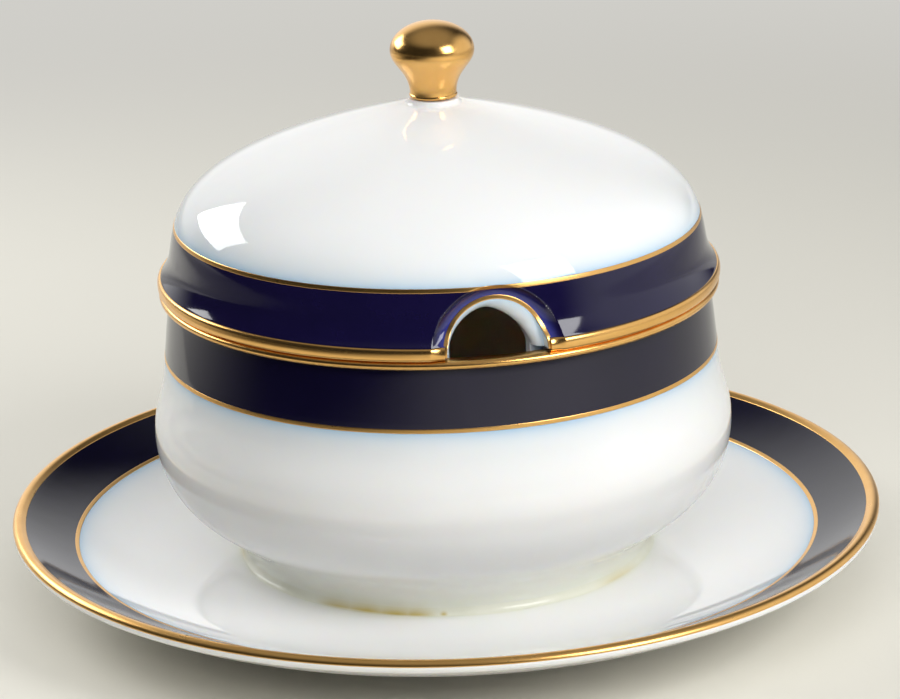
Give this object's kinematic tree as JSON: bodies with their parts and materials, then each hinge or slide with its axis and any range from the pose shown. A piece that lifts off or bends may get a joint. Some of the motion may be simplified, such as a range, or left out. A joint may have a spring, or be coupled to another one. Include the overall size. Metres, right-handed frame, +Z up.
{
  "type": "covered sauce boat",
  "caption": "Round porcelain sauce boat fused to its underplate, with a lift-off domed lid that has a gilded knob and a notch for a ladle's handle.",
  "frame": {"origin": "middle of the pot, on the surface that the underplate's foot ring stands on", "axes": "+Z up along the axis of the pot, lid and knob; the ladle notch in the lid faces -Y"},
  "size_m": [0.2104, 0.2104, 0.1393],
  "materials": {
    "porcelain": "clear gloss glaze",
    "cobalt_glaze": "dark cobalt blue under clear gloss glaze",
    "gilding": "burnished gold fired onto the glaze",
    "seam_glaze": "amber pooled glaze"
  },
  "bodies": {
    "pot": {"bowl": "porcelain", "bowl_rim_gilding": "gilding", "bowl_cobalt_band": "cobalt_glaze", "bowl_lower_gilt_line": "gilding", "foot_seam": "seam_glaze", "underplate": "porcelain", "plate_inner_gilt_line": "gilding", "plate_cobalt_band": "cobalt_glaze", "plate_rim_gilding": "gilding"},
    "lid": {"lid": "porcelain", "knob": "gilding", "lid_rim_gilding": "gilding", "lid_cobalt_band": "cobalt_glaze", "lid_upper_gilt_line": "gilding", "notch_gilt_line": "gilding"}
  },
  "joints": [
    {"name": "lid_lift", "type": "slide", "parent": "pot", "child": "lid", "axis": [0, 0, 1], "range_m": [0, 0.08]}
  ]
}
